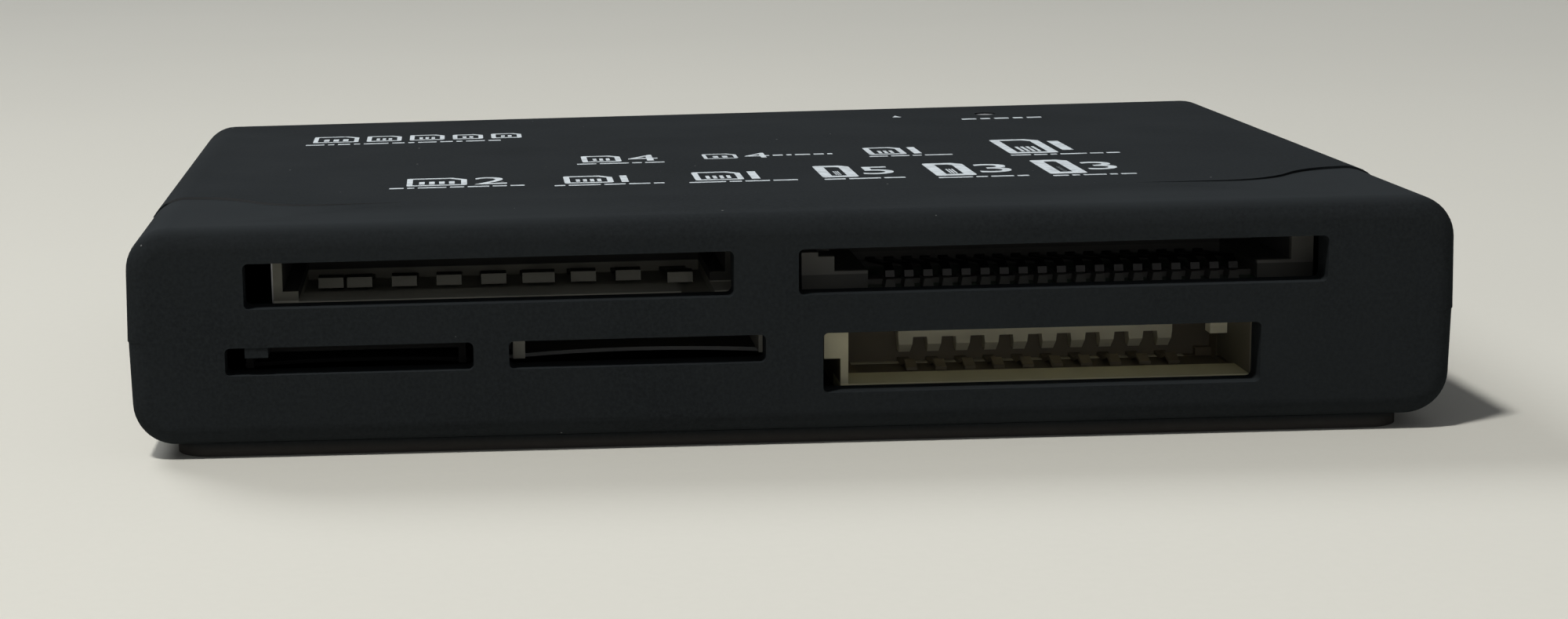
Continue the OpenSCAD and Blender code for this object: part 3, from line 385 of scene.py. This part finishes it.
def carried(name, bm, surface):
    """The mesh as a piece that rides on the body, with a surface."""
    bmesh.ops.recalc_face_normals(bm, faces=bm.faces)
    mesh = bpy.data.meshes.new(name)
    bm.to_mesh(mesh)
    bm.free()
    made = bpy.data.objects.new(name, mesh)
    bpy.context.collection.objects.link(made)
    made.data.materials.append(surface)
    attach(made, "root")


def plate(name, low, high, bevel, surface):
    """Thin plate with slightly rounded edges between two corners, in millimetres."""
    bm = bmesh.new()
    bmesh.ops.create_cube(bm, size=1.0)
    for v in bm.verts:
        v.co = Vector(a + (c + 0.5) * (b - a) for c, a, b in zip(v.co, low, high)) * MM
    bmesh.ops.bevel(bm, geom=bm.edges[:], offset=bevel * MM, segments=2, profile=0.6, affect="EDGES")
    carried(name, bm, surface)


def notched_wall(name, low, high, notches, notch_top, surface):
    """Upright plate between two corners, in millimetres, with notches in its lower edge between pairs of x."""
    loop = [(low[0], high[2]), (low[0], low[2])]
    for x0, x1 in notches:
        loop += [(x0, low[2]), (x0, notch_top), (x1, notch_top), (x1, low[2])]
    loop += [(high[0], low[2]), (high[0], high[2])]
    bm = bmesh.new()
    front, rear = ([bm.verts.new(Vector((x, y, z)) * MM) for x, z in loop] for y in (low[1], high[1]))
    bm.faces.new(front)
    bm.faces.new(rear[::-1])
    for i in range(len(loop)):
        bm.faces.new((front[i - 1], front[i], rear[i], rear[i - 1]))
    carried(name, bm, surface)


# The guide is closed by walls whose brown is painted shade, a darker copy of its cream plastic: one behind its comb
# with notches for its springs, one in the opening of its right wall, darker still, and a thin floor under its springs.
# Lengths are in millimetres.
# Colours of these walls: painted shade, darker copies of the guide's cream plastic.
CREAM_SHADE = moulded("cream_painted_shade", (0.19, 0.165, 0.122), 0.6, specular=0.3)
CREAM_DARKER_SHADE = moulded("cream_painted_darker_shade", (0.13, 0.117, 0.087), 0.6, specular=0.3)
(x0, y0, z0), (x1, y1, _) = ([c / MM for c in corner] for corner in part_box("ms_housing"))
(s0, _, spring_z), (s1, _, _) = ([c / MM for c in corner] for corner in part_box("ms_contacts"))
SPRINGS, SPRING_W, SPRING_T, PLAY = 10, 0.6, 0.2, 0.03
RIGHT_WALL, END_WALL, FLOOR = 0.42, 0.25, 0.1
END_TOP, SIDE_LOW, SIDE_TOP, SIDE_REAR = 5.9, 2.72, 5.85, -15.82
WINDOW_W, WINDOW_FRONT, WINDOW_REAR = 20.66, -19.38, -14.82
spacing = (s1 - s0 - SPRING_W) / (SPRINGS - 1)
lefts = [s0 + i * spacing for i in range(SPRINGS)]
notches = [(left - PLAY, left + SPRING_W + PLAY) for left in lefts]
notch_top = spring_z + SPRING_T + PLAY
inner = x1 - RIGHT_WALL
low_z = z0 + 0.02
notched_wall(
    "ms_end_wall", (x0 + 0.2, y1, low_z), (x1, y1 + END_WALL, END_TOP), notches, notch_top, CREAM_SHADE,
)
plate("ms_side_wall", (inner, y0 + 0.1, SIDE_LOW), (x1, SIDE_REAR, SIDE_TOP), 0.08, CREAM_DARKER_SHADE)
window_x = inner - 0.02
plate(
    "ms_floor", (window_x - WINDOW_W, WINDOW_FRONT, low_z), (window_x, WINDOW_REAR, low_z + FLOOR),
    0.02, CREAM_SHADE,
)


# ---------------------------------------------------------------- print on the top
# Plain signs: card outlines, contact stripes and slot numbers, in the layout of such a top.

SINK, PROUD = 0.004, 0.012


ARC_STEPS = 5


def arc(cx, cy, r, a0, a1):
    """Points of an arc between two angles in degrees."""
    angles = [math.radians(a0 + (a1 - a0) * i / ARC_STEPS) for i in range(ARC_STEPS + 1)]
    return [(cx + r * math.cos(a), cy + r * math.sin(a)) for a in angles]


def card_loop(w, h, r, cut):
    """Outline of a card about its middle, with three round corners and the upper right one cut off."""
    x, y = w / 2, h / 2
    return (
        arc(-x + r, -y + r, r, 180, 270)
        + arc(x - r, -y + r, r, 270, 360)
        + [(x, y - cut), (x - cut, y)]
        + arc(-x + r, y - r, r, 90, 180)
    )


class Sheet:
    """Collects flat shapes and stands them as one thin mesh on the top."""

    def __init__(self):
        self.bm = bmesh.new()

    def prism(self, loop, hole=None):
        """A shape, or the ring between it and a hole with as many points, as a closed plate."""
        levels = []
        for z in (-SINK, PROUD):
            height = (TOP + z) * MM
            rims = [[self.bm.verts.new((x * MM, y * MM, height)) for x, y in pts] for pts in (loop, hole) if pts]
            levels.append(rims)
        low, high = levels
        count = len(loop)
        for i in range(count):
            j = (i + 1) % count
            self.bm.faces.new((low[0][i], low[0][j], high[0][j], high[0][i]))
            if hole:
                self.bm.faces.new((low[1][j], low[1][i], high[1][i], high[1][j]))
                self.bm.faces.new((high[0][i], high[0][j], high[1][j], high[1][i]))
                self.bm.faces.new((low[0][j], low[0][i], low[1][i], low[1][j]))
        if not hole:
            self.bm.faces.new(high[0])
            self.bm.faces.new(list(reversed(low[0])))

    def bar(self, x0, x1, y0, y1, r):
        """A bar with round corners of radius r."""
        cx, cy = (x0 + x1) / 2, (y0 + y1) / 2
        x, y = (x1 - x0) / 2, (y1 - y0) / 2
        loop = arc(-x + r, -y + r, r, 180, 270) + arc(x - r, -y + r, r, 270, 360)
        loop += arc(x - r, y - r, r, 0, 90) + arc(-x + r, y - r, r, 90, 180)
        self.prism([(cx + px, cy + py) for px, py in loop])

    def card(self, cx, cy, w, h, stroke, stripes):
        """Card outline with a row of contact stripes along its front edge."""
        cut = min(w, h) * 0.26
        r = 0.22
        outer = card_loop(w, h, r, cut)
        inner = card_loop(w - 2 * stroke, h - 2 * stroke, max(r - stroke, 0.05), max(cut - stroke * 0.55, 0.05))
        self.prism([(cx + x, cy + y) for x, y in outer], [(cx + x, cy + y) for x, y in inner])
        room = w - 2 * stroke - 0.5
        half = room / stripes * 0.28
        y = cy - h / 2 + stroke + 0.3
        for i in range(stripes):
            x = cx - room / 2 + room * (i + 0.5) / stripes
            self.bar(x - half, x + half, y, y + h * 0.34, 0.04)

    def place(self, name):
        mesh = bpy.data.meshes.new(name)
        bmesh.ops.recalc_face_normals(self.bm, faces=self.bm.faces)
        self.bm.to_mesh(mesh)
        self.bm.free()
        made = bpy.data.objects.new(name, mesh)
        bpy.context.collection.objects.link(made)
        made.data.materials.append(PRINT)
        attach(made, "root")


def numeral(name, text, x, y, size):
    """A plain slot number, as a thin mesh whose lower left corner is at x, y."""
    curve = bpy.data.curves.new(name + "_curve", "FONT")
    curve.body = text
    curve.size = size * 1.4 * MM
    curve.extrude = (SINK + PROUD) / 2 * MM
    curve.offset = 0.01 * MM
    curve.resolution_u = 4
    source = bpy.data.objects.new(name + "_source", curve)
    bpy.context.collection.objects.link(source)
    bpy.context.view_layer.update()
    mesh = bpy.data.meshes.new_from_object(source.evaluated_get(bpy.context.evaluated_depsgraph_get()))
    bpy.data.objects.remove(source)
    bpy.data.curves.remove(curve)
    low = Vector([min(v.co[k] for v in mesh.vertices) for k in range(3)])
    mesh.transform(Matrix.Translation(Vector((x, y, TOP - SINK)) * MM - low))
    mesh.name = name
    made = bpy.data.objects.new(name, mesh)
    bpy.context.collection.objects.link(made)
    made.data.materials.clear()
    made.data.materials.append(PRINT)
    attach(made, "root")


def lines(sheet, x0, x1, y, height, gap, marks):
    """A row of short bars from x0 to x1, whose lengths follow the given marks."""
    unit = (x1 - x0 - gap * (len(marks) - 1)) / sum(marks)
    x = x0
    for mark in marks:
        sheet.bar(x, x + mark * unit, y, y + height, 0.06)
        x += mark * unit + gap


def sign(index, x0, x1, d0, d1, number, marks, wide=0.95, stroke=0.34):
    """One sign: a card, a slot number and a row of short bars, between two distances from the rear edge."""
    y0, y1 = REAR - d0, REAR - d1
    sheet = Sheet()
    height = y1 - y0 - 0.95
    w = min(height * wide, (x1 - x0) * 0.45)
    size = min(height * 0.94, (x1 - x0) * 0.72)
    left = (x0 + x1 - w - 0.45 - size * 0.62) / 2
    sheet.card(left + w / 2, y1 - height / 2, w, height, stroke, 4 if w > 2.5 else 3)
    lines(sheet, x0, x1, y0, 0.36, 0.2, marks)
    sheet.place(f"print_sign_{index}")
    numeral(f"print_number_{index}", number, left + w + 0.45, y1 - (height + size) / 2, size)


def low_sign(index, x0, x1, d0, d1, number, marks):
    """A flat sign: a small card, a slot number and a row of short bars, side by side."""
    y0, y1 = REAR - d0, REAR - d1
    sheet = Sheet()
    h = y1 - y0
    sheet.card(x0 + h * 0.45, (y0 + y1) / 2, h * 0.9, h, 0.22, 2)
    lines(sheet, x0 + h * 1.85, x1, y0 + h * 0.32, 0.42, 0.22, marks)
    sheet.place(f"print_sign_{index}")
    numeral(f"print_number_{index}", number, x0 + h * 1.1, y0, h)


def title_strip():
    """A row of small cards over a row of short bars, in place of a title."""
    y0, y1 = REAR - 13.5, REAR - 8.4
    sheet = Sheet()
    x = -27.0
    for w, h, stripes in ((3.0, 3.2, 3), (2.3, 2.9, 3), (2.3, 2.9, 3), (2.0, 2.5, 2), (2.0, 2.5, 2)):
        sheet.card(x + w / 2, y0 + 1.35 + h / 2, w, h, 0.3, stripes)
        x += w + 0.55
    lines(sheet, -27.4, -14.6, y0, 0.4, 0.24, (3, 1, 2, 1, 4, 2, 1, 3, 2, 1, 3, 2))
    sheet.place("print_title")


def lamp_sign():
    """Short bars beside the indicator, and a small pointer."""
    y0 = REAR - 9.1
    sheet = Sheet()
    lines(sheet, 16.4, 21.7, y0 + 0.2, 0.5, 0.3, (3, 2, 3, 2, 3))
    sheet.prism([(12.1, REAR - 6.5), (12.7, REAR - 6.5), (12.4, REAR - 5.6)])
    sheet.place("print_lamp")


title_strip()
lamp_sign()
sign(1, -21.4, -13.6, 35.6, 31.4, "2", (2, 1, 4, 2, 3, 2, 2), 1.3)
sign(2, -10.2, -4.9, 26.9, 23.0, "4", (2, 3, 1, 2))
sign(3, -11.9, -5.6, 36.2, 32.2, "1", (1, 3, 2, 2, 1))
low_sign(4, -2.4, 5.5, 25.9, 23.6, "4", (2, 1, 3, 2, 1))
sign(5, -4.2, 2.0, 36.4, 31.9, "1", (3, 1, 2, 2))
sign(6, 7.5, 12.5, 27.0, 22.6, "1", (2, 2, 1, 3))
sign(7, 3.5, 8.1, 36.6, 30.6, "5", (2, 3, 2), 0.75, 0.6)
sign(8, 9.9, 15.0, 37.2, 30.8, "3", (3, 1, 2, 1), 0.75, 0.65)
sign(9, 15.8, 22.3, 28.2, 20.4, "1", (3, 2, 1, 4, 2, 2), 0.8, 0.55)
sign(10, 16.3, 21.0, 37.6, 30.6, "3", (2, 1, 3, 1, 2), 0.75, 0.7)


# ---------------------------------------------------------------- stage, light and camera

TABLE = (0.66, 0.65, 0.595)
bpy.ops.mesh.primitive_plane_add(size=6.0, location=(0, 0, 0))
table = bpy.context.object
table.name = "table"
table.data.materials.append(tabletop("pale_table", TABLE))


def room(low, high, front, back, seen):
    """Soft light, dim near the horizon and in front, brighter overhead and behind, on a pale background."""
    world = bpy.data.worlds.new("room")
    bpy.context.scene.world = world
    world.use_nodes = True
    tree = world.node_tree

    def ranged(value, start, a, b):
        node = tree.nodes.new("ShaderNodeMapRange")
        tree.links.new(value, node.inputs["Value"])
        for key, number in (("From Min", start), ("From Max", 1.0), ("To Min", a), ("To Max", b)):
            node.inputs[key].default_value = number
        return node.outputs["Result"]

    def pair(operation, a, b):
        node = tree.nodes.new("ShaderNodeMath")
        node.operation = operation
        tree.links.new(a, node.inputs[0])
        tree.links.new(b, node.inputs[1])
        return node.outputs["Value"]

    towards = tree.nodes.new("ShaderNodeSeparateXYZ")
    tree.links.new(tree.nodes.new("ShaderNodeTexCoord").outputs["Generated"], towards.inputs["Vector"])
    light = pair(
        "MULTIPLY",
        ranged(towards.outputs["Z"], 0.0, low, high),
        ranged(towards.outputs["Y"], -1.0, front, back),
    )
    path = tree.nodes.new("ShaderNodeLightPath").outputs
    shown = pair("MAXIMUM", path["Is Camera Ray"], pair("MAXIMUM", path["Is Glossy Ray"], path["Is Transmission Ray"]))
    choice = tree.nodes.new("ShaderNodeMix")
    choice.data_type = "FLOAT"
    tree.links.new(shown, choice.inputs["Factor"])
    tree.links.new(light, choice.inputs["A"])
    choice.inputs["B"].default_value = seen
    air = tree.nodes["Background"]
    air.inputs["Color"].default_value = (0.95, 0.97, 1.0, 1.0)
    tree.links.new(choice.outputs["Result"], air.inputs["Strength"])


room(0.06, 0.2, 0.8, 1.2, 0.55)


def lamp(name, place, size, power, colour):
    """Round soft lamp that points at the object."""
    data = bpy.data.lights.new(name, "AREA")
    data.shape = "DISK"
    data.size = size
    data.energy = power
    data.color = colour
    made = bpy.data.objects.new(name, data)
    made.location = place
    made.rotation_mode = "QUATERNION"
    made.rotation_quaternion = (-Vector(place)).to_track_quat("-Z", "Y")
    bpy.context.collection.objects.link(made)


lamp("bulb", (-0.175, -0.160, 0.50), 0.06, 2.0, (1.0, 0.985, 0.95))
lamp("window", (-1.3, 1.8, 1.9), 1.3, 37.0, (0.97, 0.985, 1.0))
lamp("wall", (-0.1, -1.5, 0.22), 1.0, 1.3, (1.0, 0.985, 0.95))

# The camera that the photograph's perspective gives, in millimetres and degrees.
FOCAL_PX, CENTRE_PX, WIDTH_PX = 3465.15, 539.06, 2000.0
YAW, PITCH, ROLL = -0.9511, 10.3258, 1.6860
EYE = (-17.112, -166.397, 33.873)

yaw, pitch, roll = (math.radians(a) for a in (YAW, PITCH, ROLL))
ahead = Vector((math.sin(yaw) * math.cos(pitch), math.cos(yaw) * math.cos(pitch), -math.sin(pitch)))
right = Vector((math.cos(yaw), -math.sin(yaw), 0.0))
down = ahead.cross(right)
across = math.cos(roll) * right + math.sin(roll) * down
under = -math.sin(roll) * right + math.cos(roll) * down
lens = bpy.data.cameras.new("camera")
lens.sensor_width = 36.0
lens.lens = FOCAL_PX / WIDTH_PX * lens.sensor_width
lens.shift_x = 0.5 - CENTRE_PX / WIDTH_PX
lens.clip_start, lens.clip_end = 0.005, 20.0
camera = bpy.data.objects.new("camera", lens)
camera.matrix_world = Matrix(
    (
        (across.x, -under.x, -ahead.x, EYE[0] * MM),
        (across.y, -under.y, -ahead.y, EYE[1] * MM),
        (across.z, -under.z, -ahead.z, EYE[2] * MM),
        (0, 0, 0, 1),
    )
)
bpy.context.collection.objects.link(camera)
bpy.context.scene.camera = camera
bpy.context.scene.view_settings.view_transform = "Standard"
